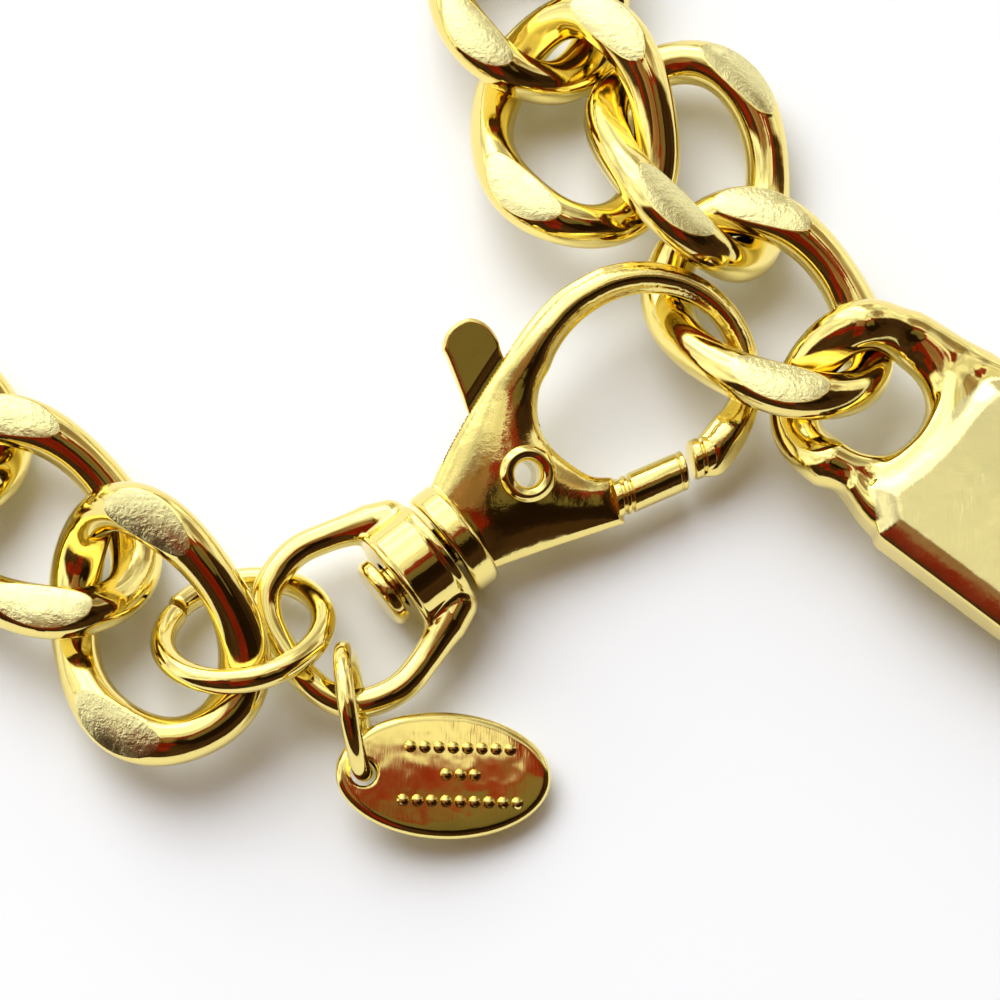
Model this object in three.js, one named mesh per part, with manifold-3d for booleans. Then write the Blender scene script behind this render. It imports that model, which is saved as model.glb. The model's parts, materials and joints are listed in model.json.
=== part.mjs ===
// Chain and bar necklace: a curb-link chain closed by a swivel lobster clasp, with a plain bar drop.
// Millimetres, +Z up. The necklace lies on the plane z = 0, and the origin is the middle of its box.
import * as THREE from 'three';
import { mergeVertices } from 'three/addons/utils/BufferGeometryUtils.js';
import Module from 'manifold-3d';

const wasm = await Module();
wasm.setup();

// ---------------------------------------------------------------- driving dimensions
const WIRE = 2.24;            // diameter of the chain wire
const LINK_HALF_LENGTH = 5.95; // link centre line, half of its long axis
const LINK_HALF_WIDTH = 4.2;  // link centre line, half of its short axis
const LINK_TWIST = 1.3;       // how far the twist lifts the wire off the link's middle plane
const LINK_SPREAD = 0.2;      // the pressed stretches are wider by this share
const CHAIN_HALF_THICKNESS = 1.85; // the chain is ground flat at this height, above and below
const PITCH = 8.9;            // from one link to the next along the hidden run

const CLASP_HEADING = 38;     // which way the hook points, degrees from +X
const CLASP_RISE = 3;         // the hook end is lifted by this, degrees
const CLASP_ROLL = 19.3;      // the spine side is lifted by this, degrees
const EYE_ROLL = 3.8;          // the swivel lets the eye roll by itself, degrees
const CLASP_RIVET = [1.13, 0.25, 3.07]; // where the rivet stands
const BODY_THICKNESS = 2.4;
const BODY_BEVEL = 0.35;
const HOOK_RADIUS = 0.95;     // the hook's round wire
const SLOT_WIDTH = 1.7;       // the gap between the two cheeks, where the gate swings
const GATE_PLATE = 1.1;       // the gate's plate inside that gap
const GATE_RADIUS = 0.97;     // the gate's round arm
const RIVET_RADIUS = 1.45;    // the rolled rim
const RIVET_RIM = 0.3;        // how far the rim stands up
const RIVET_SHANK = 1.0;
const RIVET_HOLE = 0.65;
const CLEAR = 0.3;            // what touches keeps this gap
const SWIVEL_SHIFT = -0.45;    // the swivel's axis passes beside the rivet by this
const COLLAR_RADIUS = 2.85;
const BARREL_RADIUS = 2.8;
const PIN_RADIUS = 1.0;
const PIN_HEAD_RADIUS = 1.8;
const PIN_HEAD_LENGTH = 0.7;
const EYE_WIRE = 1.5;

const JUMP_RING_RADIUS = 3.95; // centre line
const JUMP_RING_WIRE = 1.25;
const TAG_RING_RADIUS = 3.0;
const TAG_RING_WIRE = 0.9;
const TAG_LENGTH = 10.6;
const TAG_WIDTH = 6.2;
const TAG_THICKNESS = 0.8;
const TAG_HOLE_RADIUS = 0.95;

const BAR_LENGTH = 42;        // from the middle of the loop to the far end
const BAR_WIDTH = 11.6;
const BAR_THICKNESS = 3.1;
const BAR_HEADING = -38;
const BAR_TILT = 3.4;         // the loop end is lifted by this, degrees
const BAR_BEVEL = 0.5;

// How many sides round parts have, and how many steps the bent ones take.
const NEAR_LINK_FACETS = { sides: 8, steps: 20 };
const RUN_LINK_FACETS = { sides: 6, steps: 16 };
const RING_FACETS = { sides: 6, steps: 20 };
const LOOP_FACETS = { sides: 8, steps: 20 };
const ROD_SIDES = 12;
const DRUM_SIDES = 20;
const WIRE_CORNERS = 5;       // per half turn of a bent wire's section
const HOOK_BENDS = 28;
const EYE_BENDS = 30;

// Links near the clasp lie as they fell. Place of the middle, heading of the long axis, and how
// far (lean) the side at one heading (leanTo) is lifted, in degrees.
const FALLEN_LINKS = [
  { name: 'left_end', x: -17.01, y: -7.53, z: 3.5, turn: 113.1, leanTo: 37.8, lean: 26.3 },
  { name: 'left_next', x: -23.15, y: -2.1, z: 2.5, turn: 137.6, leanTo: -97.2, lean: 3 },
  { name: 'top_end', x: 13.35, y: 8.56, z: 3.78, turn: -51.6, leanTo: -93, lean: 10.2 },
  { name: 'top_second', x: 9.81, y: 17.18, z: 3.18, turn: 100.3, leanTo: -146.3, lean: 24.3 },
  { name: 'top_third', x: 3.67, y: 19.11, z: 3.34, turn: 98.4, leanTo: -11.2, lean: 11.5 },
  { name: 'top_fourth', x: 1.43, y: 27.54, z: 2.72, turn: 92.3, leanTo: -121.3, lean: 4 },
];

// ---------------------------------------------------------------- helpers
const deg = THREE.MathUtils.degToRad;
const Z_AXIS = new THREE.Vector3(0, 0, 1);

const GOLD = { colour: 0xd9b44a, roughness: 0.22, metalness: 1 };

function piece(name, geometry, look = GOLD) {
  const material = new THREE.MeshStandardMaterial({
    color: look.colour, roughness: look.roughness, metalness: look.metalness,
  });
  const mesh = new THREE.Mesh(geometry, material);
  mesh.name = name;
  return mesh;
}

function solid(geometry) {
  geometry.deleteAttribute('normal');
  geometry.deleteAttribute('uv');
  const merged = mergeVertices(geometry, 1e-4);
  return new wasm.Manifold(new wasm.Mesh({
    numProp: 3,
    vertProperties: new Float32Array(merged.attributes.position.array),
    triVerts: new Uint32Array(merged.index.array),
  }));
}

function toGeometry(body) {
  const mesh = body.getMesh();
  const geometry = new THREE.BufferGeometry();
  geometry.setAttribute('position', new THREE.BufferAttribute(mesh.vertProperties, 3));
  geometry.setIndex(new THREE.BufferAttribute(mesh.triVerts, 1));
  geometry.computeVertexNormals();
  return geometry;
}

// A closed ring: a torus whose centre line and section are given by functions of the angle.
function sweptRing(centre, section, { sides, steps }, limit = Infinity) {
  const ring = new THREE.TorusGeometry(1, 0.3, sides, steps);
  const place = ring.attributes.position;
  const uv = ring.attributes.uv;
  const step = 1e-3;
  for (let i = 0; i < place.count; i += 1) {
    const t = uv.getX(i) * 2 * Math.PI;
    const phase = uv.getY(i) * 2 * Math.PI;
    const middle = centre(t);
    const tangent = centre(t + step).sub(centre(t - step)).normalize();
    const outward = new THREE.Vector3().crossVectors(tangent, Z_AXIS).normalize();
    const upright = new THREE.Vector3().crossVectors(outward, tangent);
    const { across, upward } = section(t);
    middle.addScaledVector(outward, across * Math.cos(phase));
    middle.addScaledVector(upright, upward * Math.sin(phase));
    middle.z = THREE.MathUtils.clamp(middle.z, -limit, limit);
    place.setXYZ(i, middle.x, middle.y, middle.z);
  }
  ring.computeVertexNormals();
  return ring;
}

function roundRing(radius, wire, { sides, steps }) {
  const centre = (t) => new THREE.Vector3(radius * Math.cos(t), radius * Math.sin(t), 0);
  return sweptRing(centre, () => ({ across: wire / 2, upward: wire / 2 }), { sides, steps });
}

// Turn about Z, then lift the side at one heading.
function fallen(turn, leanTo, lean) {
  const heading = deg(leanTo);
  const hinge = new THREE.Vector3(Math.sin(heading), -Math.cos(heading), 0);
  const tilt = new THREE.Quaternion().setFromAxisAngle(hinge, deg(lean));
  return tilt.multiply(new THREE.Quaternion().setFromAxisAngle(Z_AXIS, deg(turn)));
}

function put(mesh, { x, y, z, turn = 0, leanTo = 0, lean = 0 }) {
  mesh.position.set(x, y, z);
  mesh.quaternion.copy(fallen(turn, leanTo, lean));
  return mesh;
}

// ---------------------------------------------------------------- chain
function linkCentre(t) {
  return new THREE.Vector3(
    LINK_HALF_LENGTH * Math.cos(t),
    LINK_HALF_WIDTH * Math.sin(t),
    -LINK_TWIST * Math.sin(2 * t),
  );
}

function linkSection(t) {
  const pressed = Math.sin(2 * t) ** 2;
  return { across: (WIRE / 2) * (1 + LINK_SPREAD * pressed), upward: WIRE / 2 };
}

function curbLink(facets) {
  return sweptRing(linkCentre, linkSection, facets, CHAIN_HALF_THICKNESS);
}

// The hidden run: straight leg, wide turn, straight leg, from the left strand to the top strand.
const RUN_LEFT_HEADING = 140;
const RUN_TOP_HEADING = 95;
const RUN_RADIUS = 49;
const RUN_HEIGHT = 1.55;      // the run lies lower than its ends, level with the swivel's underside
const RUN_SETTLES = [0.73, 0.49, 0.28, 0.12]; // how much of the lifted end's height its next links keep

function hiddenRun(from, to) {
  const dir = (a) => new THREE.Vector2(Math.cos(deg(a)), Math.sin(deg(a)));
  const out = dir(RUN_LEFT_HEADING);
  const back = dir(RUN_TOP_HEADING).negate();
  const toCentre = dir(RUN_LEFT_HEADING - 90);
  const fromCentre = dir(RUN_TOP_HEADING - 90);
  const turned = toCentre.clone().add(fromCentre).multiplyScalar(RUN_RADIUS);
  const gap = new THREE.Vector2(to.x - from.x, to.y - from.y).sub(turned);
  const spread = out.x * back.y - out.y * back.x;
  const legOut = (gap.x * back.y - gap.y * back.x) / spread;
  const legBack = (out.x * gap.y - out.y * gap.x) / spread;
  const sweep = deg(180 + RUN_LEFT_HEADING - RUN_TOP_HEADING);
  const arcLength = RUN_RADIUS * sweep;
  const total = legOut + arcLength + legBack;
  const count = Math.round(total / PITCH) - 1;
  const stepLength = total / (count + 1);
  const centre = new THREE.Vector2(from.x, from.y).addScaledVector(out, legOut)
    .addScaledVector(toCentre, RUN_RADIUS);
  const places = [];
  for (let i = 1; i <= count; i += 1) {
    const s = i * stepLength;
    if (s < legOut) {
      places.push({ x: from.x + out.x * s, y: from.y + out.y * s, turn: RUN_LEFT_HEADING });
    } else if (s < legOut + arcLength) {
      const turn = RUN_LEFT_HEADING - THREE.MathUtils.radToDeg((s - legOut) / RUN_RADIUS);
      const side = dir(turn + 90);
      places.push({ x: centre.x + side.x * RUN_RADIUS, y: centre.y + side.y * RUN_RADIUS, turn });
    } else {
      const left = total - s;
      places.push({ x: to.x - back.x * left, y: to.y - back.y * left, turn: RUN_TOP_HEADING });
    }
  }
  for (const place of places) {
    place.z = RUN_HEIGHT;
  }
  RUN_SETTLES.forEach((share, i) => {
    places[i].z += share * (from.z - RUN_HEIGHT);
    places[count - 1 - i].z += share * (to.z - RUN_HEIGHT);
  });
  return places;
}

function chain() {
  const group = new THREE.Group();
  for (const row of FALLEN_LINKS) {
    group.add(put(piece(`link_${row.name}`, curbLink(NEAR_LINK_FACETS)), row));
  }
  const from = FALLEN_LINKS.find((row) => row.name === 'left_next');
  const to = FALLEN_LINKS.find((row) => row.name === 'top_fourth');
  hiddenRun(from, to).forEach((place, i) => {
    const name = `link_${String(i + 1).padStart(2, '0')}`;
    group.add(put(piece(name, curbLink(RUN_LINK_FACETS)), place));
  });
  return group;
}

// ---------------------------------------------------------------- clasp
// In the clasp's own frame x runs along the swivel from the eye to the hook, and the rivet is at 0.
// Outlines and routes list points as [along x, across y].
const HOOK_MIDDLE = { x: 7.15, y: 0.3, rx: 5.72, ry: 5.15 };
const HOOK_FROM = 124;
const HOOK_TO = -78;
const HOOK_STEPS = 20;
const NOSE = { root: [9.0, -4.93, 0], tip: [7.5, -4.5, 0], radius: 1.12 };
const NOSE_STUB = { root: [8.0, -4.9, 0], tip: [7.12, -4.85, 0], radius: 0.55 };
const COLLAR_FROM = -5.3;
const COLLAR_TO = -4.0;
const BARREL_FROM = -8.4;
const BARREL_TO = COLLAR_FROM - CLEAR;
const BODY_OUTLINE = [[-4.1, 2.2], [-4.1, -2.6], [2.65, -4.7], [3.35, -2.6], [2.46, -1.4],
  [2.0, -0.14], [2.08, 1.16], [2.63, 2.13], [3.41, 2.93], [4.3, 3.65], [5.1, 4.1], [5.1, 5.87],
  [3.0, 5.5], [0.3, 4.5], [-2.6, 3.1]];
const SLOT = [[-2.3, -2.3], [2.6, -3.95], [5.0, -4.75], [5.0, 0.5], [2.05, 1.0], [2.05, 1.6],
  [3.4, 5.6], [3.9, 7.5], [-3.0, 7.5], [-2.9, 2.0]];
const GATE_ROOT = [3.55, -3.95, 0];
const GATE_TIP = [6.4, -4.7, 0];
const GATE_OUTLINE = [[-1.4, -1.5], [1.2, -2.5], [2.9, -3.2], [3.7, -4.1], [4.6, -3.9], [3.9, -3.2],
  [2.9, -2.4], [1.9, -1.2], [1.6, 0.8], [2.2, 3.2], [2.75, 5.4], [3.0, 6.3], [2.9, 7.2], [2.3, 7.85],
  [1.3, 7.9], [0.55, 7.4], [0.35, 6.6], [-0.6, 3.4], [-1.6, 1.4], [-1.8, -0.2]];
// Half of the eye's centre line, from the barrel to the round end; the other half mirrors it.
const EYE_HALF = [[-6.6, 2.7], [-8.0, 3.32], [-9.5, 3.9], [-11.0, 4.24], [-12.4, 4.05],
  [-13.6, 3.42], [-14.3, 2.3], [-14.6, 0.78]];

function plate(shape, thickness, bevel = 0) {
  const flat = new THREE.ExtrudeGeometry(shape, {
    depth: thickness - 2 * bevel,
    bevelEnabled: bevel > 0,
    bevelThickness: bevel,
    bevelSize: bevel,
    bevelOffset: -bevel,
    bevelSegments: 1,
    curveSegments: 12,
  });
  flat.translate(0, 0, -thickness / 2 + bevel);
  return flat;
}

function polygon(points) {
  return new THREE.Shape(points.map(([x, y]) => new THREE.Vector2(x, y)));
}

function rodBetween(radius, a, b, sides = ROD_SIDES) {
  const from = new THREE.Vector3(...a);
  const to = new THREE.Vector3(...b);
  const along = to.clone().sub(from);
  const rod = new THREE.CylinderGeometry(radius, radius, along.length(), sides);
  const upright = new THREE.Vector3(0, 1, 0);
  const turn = new THREE.Quaternion().setFromUnitVectors(upright, along.normalize());
  rod.applyQuaternion(turn);
  rod.translate((from.x + to.x) / 2, (from.y + to.y) / 2, (from.z + to.z) / 2);
  return rod;
}

// A rod or disc on the swivel's axis.
function swivelRod(radius, from, to, sides = DRUM_SIDES) {
  return rodBetween(radius, [from, 0, 0], [to, 0, 0], sides);
}

function rivetHole() {
  const drill = BODY_THICKNESS;
  return solid(rodBetween(RIVET_SHANK + CLEAR, [0, 0, -drill], [0, 0, drill], DRUM_SIDES));
}

// A round wire bent along a route of [x, y] points.
function bentWire(points, radius, steps) {
  const route = new THREE.CatmullRomCurve3(points.map(([x, y]) => new THREE.Vector3(x, y, 0)));
  const section = new THREE.Shape().absarc(0, 0, radius, 0, 2 * Math.PI);
  const bend = { steps, extrudePath: route, curveSegments: WIRE_CORNERS, bevelEnabled: false };
  return new THREE.ExtrudeGeometry(section, bend);
}

function hookRoute() {
  const points = [];
  for (let i = 0; i <= HOOK_STEPS; i += 1) {
    const angle = HOOK_FROM + (HOOK_TO - HOOK_FROM) * (i / HOOK_STEPS);
    const x = HOOK_MIDDLE.x + HOOK_MIDDLE.rx * Math.cos(deg(angle));
    const y = HOOK_MIDDLE.y + HOOK_MIDDLE.ry * Math.sin(deg(angle));
    points.push([x, y]);
  }
  return points;
}

function claspBody() {
  const headTo = BARREL_FROM - CLEAR;
  let body = solid(plate(polygon(BODY_OUTLINE), BODY_THICKNESS, BODY_BEVEL));
  body = body.subtract(solid(plate(polygon(SLOT), SLOT_WIDTH)));
  body = body.subtract(rivetHole());
  body = body.add(solid(bentWire(hookRoute(), HOOK_RADIUS, HOOK_BENDS)));
  body = body.add(solid(rodBetween(NOSE.radius, NOSE.root, NOSE.tip)));
  body = body.add(solid(rodBetween(NOSE_STUB.radius, NOSE_STUB.root, NOSE_STUB.tip)));
  let pin = solid(swivelRod(COLLAR_RADIUS, COLLAR_FROM, COLLAR_TO));
  pin = pin.add(solid(swivelRod(PIN_RADIUS, headTo - PIN_HEAD_LENGTH / 2, COLLAR_TO, ROD_SIDES)));
  pin = pin.add(solid(swivelRod(PIN_HEAD_RADIUS, headTo - PIN_HEAD_LENGTH, headTo)));
  return toGeometry(body.add(pin.translate([0, SWIVEL_SHIFT, 0])));
}

function claspGate() {
  let gate = solid(plate(polygon(GATE_OUTLINE), GATE_PLATE));
  gate = gate.add(solid(rodBetween(GATE_RADIUS, GATE_ROOT, GATE_TIP)));
  gate = gate.subtract(rivetHole());
  return toGeometry(gate);
}

function claspRivet() {
  const under = BODY_THICKNESS / 2 + CLEAR;
  const over = under + RIVET_RIM;
  const profile = [
    [RIVET_HOLE, -over], [RIVET_RADIUS, -over], [RIVET_RADIUS, -under], [RIVET_SHANK, -under],
    [RIVET_SHANK, under], [RIVET_RADIUS, under], [RIVET_RADIUS, over], [RIVET_HOLE, over],
    [RIVET_HOLE, -over],
  ];
  const rivet = new THREE.LatheGeometry(profile.map(([r, z]) => new THREE.Vector2(r, z)), DRUM_SIDES);
  rivet.rotateX(Math.PI / 2);
  return rivet;
}

function swivelEye() {
  const mirrored = EYE_HALF.map(([x, y]) => [x, -y]).reverse();
  let eye = solid(bentWire([...EYE_HALF, ...mirrored], EYE_WIRE / 2, EYE_BENDS));
  eye = eye.add(solid(swivelRod(BARREL_RADIUS, BARREL_FROM, BARREL_TO)));
  eye = eye.subtract(solid(swivelRod(PIN_RADIUS + CLEAR, BARREL_FROM - CLEAR, BARREL_TO + CLEAR, ROD_SIDES)));
  return toGeometry(eye);
}

function clasp() {
  const rolled = new THREE.Group();
  rolled.add(piece('clasp_body', claspBody()));
  rolled.add(piece('clasp_gate', claspGate()));
  rolled.add(piece('clasp_rivet', claspRivet()));
  const eye = piece('swivel_eye', swivelEye());
  eye.position.y = SWIVEL_SHIFT;
  eye.rotation.x = deg(EYE_ROLL - CLASP_ROLL);
  rolled.add(eye);
  rolled.rotation.x = deg(CLASP_ROLL);
  const lifted = new THREE.Group();
  lifted.add(rolled);
  lifted.rotation.y = deg(-CLASP_RISE);
  const placed = new THREE.Group();
  placed.add(lifted);
  placed.rotation.z = deg(CLASP_HEADING);
  placed.position.set(...CLASP_RIVET);
  return placed;
}

// ---------------------------------------------------------------- rings and tag
const JUMP_RING_PLACE = { x: -12.47, y: -7.67, z: 2.93, turn: 0, leanTo: -78.5, lean: 36 };
const TAG_RING_PLACE = { x: -7.02, y: -11.91, z: 3.43, turn: 0, leanTo: 8.3, lean: 95.3 };
const TAG_PLACE = { x: -2.71, y: -14.66, z: 1.8, turn: 0.5, leanTo: 149, lean: 13 };
const TAG_HOLE_AT = -3.95;    // the hole's middle, along the tag

function ringsAndTag() {
  const group = new THREE.Group();
  const jumpRing = piece('jump_ring', roundRing(JUMP_RING_RADIUS, JUMP_RING_WIRE, RING_FACETS));
  const tagRing = piece('tag_ring', roundRing(TAG_RING_RADIUS, TAG_RING_WIRE, RING_FACETS));
  const outline = new THREE.Shape();
  outline.absellipse(0, 0, TAG_LENGTH / 2, TAG_WIDTH / 2, 0, 2 * Math.PI);
  outline.holes.push(new THREE.Path().absarc(TAG_HOLE_AT, 0, TAG_HOLE_RADIUS, 0, 2 * Math.PI));
  const tag = piece('tag', plate(outline, TAG_THICKNESS));
  group.add(put(jumpRing, JUMP_RING_PLACE), put(tagRing, TAG_RING_PLACE), put(tag, TAG_PLACE));
  return group;
}

// ---------------------------------------------------------------- bar
// The bar's end is drawn out to a ring that is bent: one limb stands up and the other dips.
const BAR_LOOP = { x: 18.67, y: 3.75, z: 3.75, radius: 3.75, wire: 2.4, rise: 1.48, drop: 1.39 };
const BAR_SHOULDER = 2.2;
const BAR_SHOULDER_CUT = 1.7;
const BAR_SHOULDER_LENGTH = 1.7;
const BAR_CORNER = 0.8;

function barLoop() {
  const { radius, wire, rise, drop } = BAR_LOOP;
  const centre = (t) => {
    const wave = Math.cos(t) > 0 ? -Math.sin(2 * t) : 0;
    const lift = wave * (wave > 0 ? rise : drop);
    return new THREE.Vector3(radius * Math.cos(t), radius * Math.sin(t), lift);
  };
  return sweptRing(centre, () => ({ across: wire / 2, upward: wire / 2 }), LOOP_FACETS);
}

function bar() {
  const half = BAR_WIDTH / 2;
  const start = -BAR_SHOULDER;
  const wide = start - BAR_SHOULDER_LENGTH;
  const upper = [[start, half - BAR_SHOULDER_CUT], [wide, half], [-BAR_LENGTH + BAR_CORNER, half],
    [-BAR_LENGTH, half - BAR_CORNER]];
  const lower = upper.map(([x, y]) => [x, -y]).reverse();
  const slab = solid(plate(polygon([...upper, ...lower]), BAR_THICKNESS, BAR_BEVEL));
  const reach = BAR_THICKNESS;
  const inside = BAR_LOOP.radius - BAR_LOOP.wire / 2;
  const hole = solid(rodBetween(inside, [0, 0, -reach], [0, 0, reach], DRUM_SIDES));
  const mesh = piece('bar', toGeometry(slab.subtract(hole).add(solid(barLoop()))));
  const lifted = new THREE.Group();
  lifted.add(mesh);
  lifted.rotation.y = deg(-BAR_TILT);
  const placed = new THREE.Group();
  placed.add(lifted);
  placed.rotation.z = deg(180 + BAR_HEADING);
  placed.position.set(BAR_LOOP.x, BAR_LOOP.y, BAR_LOOP.z);
  return placed;
}

// ---------------------------------------------------------------- assembly
const necklace = new THREE.Group();
necklace.add(chain(), clasp(), ringsAndTag(), bar());
const box = new THREE.Box3().setFromObject(necklace, true);
const middle = box.getCenter(new THREE.Vector3());
necklace.position.set(-middle.x, -middle.y, -box.min.z);

export default necklace;
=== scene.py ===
"""Looks of the chain and bar necklace: gold curb links, lobster clasp, rings, tag and bar."""

import json
import logging
import math
from dataclasses import dataclass
from enum import Enum
from typing import Callable, Optional, Sequence

import bmesh
import bpy
import numpy as np
from mathutils import Matrix, Vector


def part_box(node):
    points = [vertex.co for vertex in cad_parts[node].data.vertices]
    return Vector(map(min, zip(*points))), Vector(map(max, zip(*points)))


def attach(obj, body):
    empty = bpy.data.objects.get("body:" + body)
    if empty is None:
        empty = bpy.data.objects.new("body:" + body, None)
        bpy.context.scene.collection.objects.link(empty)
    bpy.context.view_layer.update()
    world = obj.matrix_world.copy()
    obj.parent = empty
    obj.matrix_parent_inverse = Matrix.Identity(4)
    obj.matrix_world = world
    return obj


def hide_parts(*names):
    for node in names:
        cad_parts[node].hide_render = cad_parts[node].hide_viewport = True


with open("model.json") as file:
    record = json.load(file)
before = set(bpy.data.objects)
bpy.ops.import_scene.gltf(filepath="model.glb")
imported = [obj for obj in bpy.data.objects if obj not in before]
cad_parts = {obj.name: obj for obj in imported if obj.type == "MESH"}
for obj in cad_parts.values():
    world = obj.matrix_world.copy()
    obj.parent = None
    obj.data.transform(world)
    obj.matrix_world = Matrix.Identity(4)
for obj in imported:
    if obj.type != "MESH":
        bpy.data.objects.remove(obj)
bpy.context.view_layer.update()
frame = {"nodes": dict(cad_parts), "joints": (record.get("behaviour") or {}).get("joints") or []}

LOG = logging.getLogger("necklace")
MM = 0.001
TURN = 2 * math.pi
Array = np.ndarray
Corners = Sequence[tuple[float, float]]
Solid = Callable[[Array, Array, Array], Array]  # signed distance by x, y and z
NOISE_RANGE = (0.3, 0.7)  # nearly all of a noise's values lie between these
NOISE_MIDDLE = 0.5
ON_AXIS = 1e-6  # a smaller radius counts as none
UNDER_HALF = 0.49  # the roundings at both ends of a side take less than half of it each
CURVE_STEPS = 24  # fine points that a smooth curve has between two given ones
LAST_CELL = 1.001  # keeps a look-up inside a table's last cell
OVERSHOOT = 1.85  # each relaxing step goes too far on purpose, which settles it sooner
SKIN_ROUNDS = 3  # how often a skin's points are drawn onto its surface
SKIN_NUDGE = 0.02  # step for finding the slope there, as a share of the pitch
SKIN_MOVE = 0.4  # most that a point moves in a round, as a share of the pitch
SKIN_LEAST_SLOPE = 0.2


# ---- colour and nodes
def linear(code: str) -> tuple[float, float, float, float]:
    """Turns an sRGB hex colour into linear light.

    Args:
        code: the colour, such as "e6b84a".

    Returns:
        Red, green, blue and an alpha of 1.
    """
    parts = [int(code[i:i + 2], 16) / 255 for i in (0, 2, 4)]
    light = [c / 12.92 if c <= 0.04045 else ((c + 0.055) / 1.055) ** 2.4 for c in parts]
    return (*light, 1.0)


def add(tree: bpy.types.NodeTree, kind: str, inputs: Optional[dict] = None,
        **settings: object) -> bpy.types.Node:
    """Adds one node, sets it up and links it.

    Args:
        tree: the node tree.
        kind: the node's type, without its ShaderNode prefix.
        inputs: by socket name or number, a value or the output socket to link from.
        **settings: the node's own settings.

    Returns:
        The new node.
    """
    node = tree.nodes.new("ShaderNode" + kind)
    for name, value in settings.items():
        setattr(node, name, value)
    for name, value in (inputs or {}).items():
        if isinstance(value, bpy.types.NodeSocket):
            tree.links.new(value, node.inputs[name])
        else:
            node.inputs[name].default_value = value
    return node


@dataclass(frozen=True)
class GoldPlate:
    """Bright gold plating over brass, electroplated after polishing.

    It mirrors the studio. Fine hairlines from wear and the slight waviness of the polished
    brass below break the reflections, and roughness varies a little over each piece.
    """

    name: str
    tint: str = "fae68c"
    roughness: float = 0.05
    roughness_spread: float = 0.06
    blotches_per_mm: float = 0.7  # roughness varies in blotches this dense
    wave_mm: float = 2.2  # distance between the swells that polishing leaves
    wave_height: float = 0.12
    wave_depth_mm: float = 0.30
    hairline_mm: float = 0.10  # hairlines are drawn coarser than real ones so that they show
    hairline_height: float = 0.05
    hairline_depth_mm: float = 0.02
    hairline_stretch: tuple = (1.0, 0.12, 0.6)
    hairline_turn: tuple = (0.3, 0.2, 0.9)
    crumple_mm: float = 0.2  # where metal was ground, it is crumpled like foil at this scale
    crumple: float = 0.0
    crumple_depth_mm: float = 0.09
    crumpled: tuple = (0.42, 0.6, 0.15)  # blotch values that start and fill it, least share

    def material(self) -> bpy.types.Material:
        """Builds the material.

        Returns:
            The material.
        """
        made = bpy.data.materials.new(self.name)
        made.use_nodes = True
        tree = made.node_tree
        tree.nodes.clear()
        low, high = NOISE_RANGE
        start, full, least = self.crumpled
        place = add(tree, "TexCoord").outputs["Object"]
        in_mm = add(tree, "VectorMath", {0: place, 3: 1 / MM}, operation="SCALE").outputs[0]
        swell = add(tree, "TexNoise", {"Vector": in_mm, "Scale": 1 / self.wave_mm, "Detail": 2.0})
        blotch = add(tree, "TexNoise", {"Vector": in_mm, "Scale": self.blotches_per_mm,
                                        "Detail": 5.0, "Roughness": 0.65}).outputs["Fac"]
        stretched = add(tree, "Mapping", {"Vector": in_mm, "Scale": self.hairline_stretch,
                                          "Rotation": self.hairline_turn})
        hairline = add(tree, "TexNoise", {"Vector": stretched.outputs[0],
                                          "Scale": 1 / self.hairline_mm, "Detail": 3.0})
        crumples = add(tree, "TexNoise", {"Vector": in_mm, "Scale": 1 / self.crumple_mm,
                                          "Detail": 2.5, "Roughness": 0.6})
        rough = add(tree, "MapRange", {0: blotch, 1: low, 2: high, 3: self.roughness,
                                       4: self.roughness + self.roughness_spread})
        where = add(tree, "MapRange", {0: blotch, 1: start, 2: full, 3: least, 4: 1.0})
        crumpled = add(tree, "Math", {0: crumples.outputs["Fac"], 1: where.outputs[0]},
                       operation="MULTIPLY")
        bumps = None
        for height, strength, depth_mm in (
                (swell.outputs["Fac"], self.wave_height, self.wave_depth_mm),
                (hairline.outputs["Fac"], self.hairline_height, self.hairline_depth_mm),
                (crumpled.outputs[0], self.crumple, self.crumple_depth_mm)):
            if strength <= 0:
                continue
            values = {"Height": height, "Strength": strength, "Distance": depth_mm * MM}
            if bumps is not None:
                values["Normal"] = bumps
            bumps = add(tree, "Bump", values).outputs[0]
        shader = add(tree, "BsdfPrincipled", {
            "Base Color": linear(self.tint), "Metallic": 1.0, "Roughness": rough.outputs[0],
            "Normal": bumps})
        add(tree, "OutputMaterial", {"Surface": shader.outputs[0]})
        return made


class Finish(Enum):
    """The gold finishes of the necklace's pieces."""

    # drawn wire, tumbled and polished: a bright mirror with slow swells
    POLISHED = GoldPlate("gold_plate_polished")
    # die-cast and polished by hand: a softer mirror with a slight grain
    CAST = GoldPlate("gold_plate_on_casting", roughness=0.07, roughness_spread=0.07,
                     wave_mm=2.6, wave_height=0.14, crumple_mm=0.32, crumple=0.1)
    # ground on a belt and not polished again: pale, satin and crumpled
    GROUND = GoldPlate("gold_plate_ground_flat", tint="f0e6a4", roughness=0.2,
                       roughness_spread=0.12, wave_height=0.1, hairline_height=0.2, crumple=0.55)
    # brushed lightly: an even glow with fine streaks
    BAR_FACE = GoldPlate("gold_plate_brushed_bar", tint="f5e8a4", roughness=0.12,
                         roughness_spread=0.08, wave_mm=3.0, wave_height=0.3,
                         hairline_height=0.25, crumple_mm=0.7, crumple=0.1)
    # stamped from sheet: nearly flat, with soft dents that bend what it mirrors
    TAG_FACE = GoldPlate("gold_plate_stamped_tag", roughness=0.06, roughness_spread=0.06,
                         wave_height=0.16, hairline_height=0.1)

    def made(self) -> bpy.types.Material:
        """Returns the finish's material, built once."""
        return bpy.data.materials.get(self.value.name) or self.value.material()


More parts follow.
